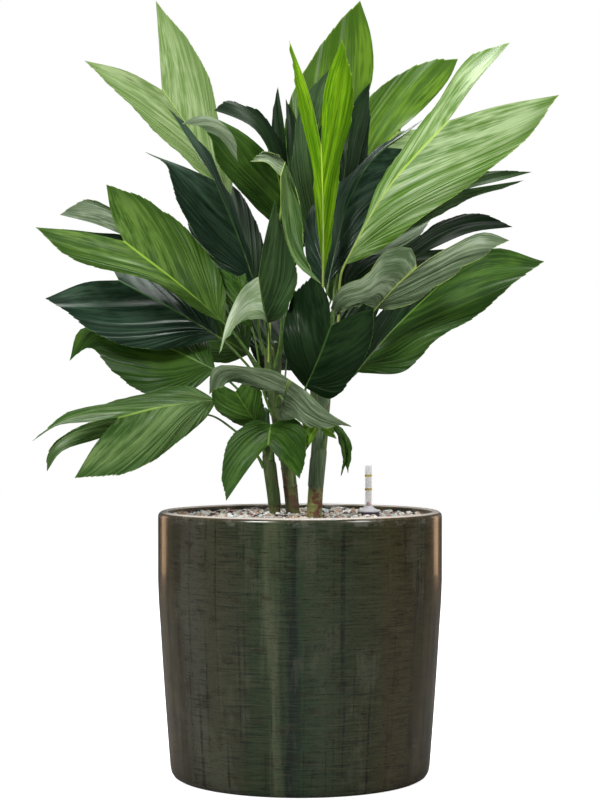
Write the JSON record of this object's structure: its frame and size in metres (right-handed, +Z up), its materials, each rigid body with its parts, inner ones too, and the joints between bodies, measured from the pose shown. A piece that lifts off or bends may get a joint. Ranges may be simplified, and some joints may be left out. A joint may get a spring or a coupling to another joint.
{
  "type": "potted palm",
  "caption": "Potted metallic palm: bifid, toothed, pleated leaves on slender canes in pale granules, with a water gauge, in a round dark glazed ceramic pot.",
  "frame": {"origin": "centre of the pot's flat foot, on the surface that it stands on", "axes": "+Z up the pot's axis, -Y towards the picture's viewer, +X to the viewer's right"},
  "size_m": [0.5811, 0.4201, 0.9065],
  "materials": {
    "leaf_dark": "satin",
    "leaf_blue": "satin",
    "leaf_mid": "satin",
    "leaf_bright": "satin",
    "leaf_young": "satin",
    "leaf_underside_pale": "matte",
    "leaf_underside_grey": "matte",
    "cane": "satin",
    "glaze": "gloss",
    "granules": "matte",
    "gauge_grey": "satin",
    "gauge_clear": "gloss",
    "gauge_red": "satin"
  },
  "bodies": {
    "planter": {"pot": "glaze", "substrate": "granules", "gauge_housing": "gauge_grey", "gauge_sight_tube": "gauge_clear", "stem_left": "cane", "stem_middle": "cane", "stem_right": "cane", "stem_back_left": "cane", "stem_back_right": "cane", "frond_front_curled": "leaf_underside_grey", "frond_front_low": "leaf_mid", "frond_low_bright": "leaf_bright", "frond_low_left": "leaf_mid", "frond_folded": "leaf_underside_pale", "frond_hanging": "leaf_underside_pale", "frond_small_bright": "leaf_bright", "frond_withered": "leaf_underside_pale", "frond_centre_dark": "leaf_dark", "frond_spear": "leaf_young", "frond_arching": "leaf_mid", "frond_left": "leaf_bright", "frond_right_grey": "leaf_underside_grey", "frond_right": "leaf_bright", "frond_left_inner": "leaf_mid", "frond_upper_left": "leaf_blue", "frond_left_glossy": "leaf_blue", "frond_left_striped": "leaf_mid", "frond_low_left_pale": "leaf_underside_pale", "frond_blue_rib": "leaf_blue", "frond_upright": "leaf_dark", "frond_upright_grey": "leaf_underside_grey", "frond_centre_back": "leaf_dark", "frond_right_dark": "leaf_dark", "frond_lower_right": "leaf_mid", "frond_right_narrow": "leaf_underside_grey", "frond_upper_right": "leaf_bright", "frond_top": "leaf_bright", "frond_top_left": "leaf_underside_pale", "frond_left_pale": "leaf_underside_pale", "frond_back_right": "leaf_mid", "frond_back_left": "leaf_dark", "frond_back_top": "leaf_mid", "frond_back_low_left": "leaf_mid", "frond_back_low_right": "leaf_dark", "frond_back_centre": "leaf_dark"},
    "float": {"gauge_float": "gauge_red"}
  },
  "joints": [
    {"name": "float_rise", "type": "slide", "parent": "planter", "child": "float", "axis": [0, 0, 1], "range_m": [0, 0.033]}
  ]
}
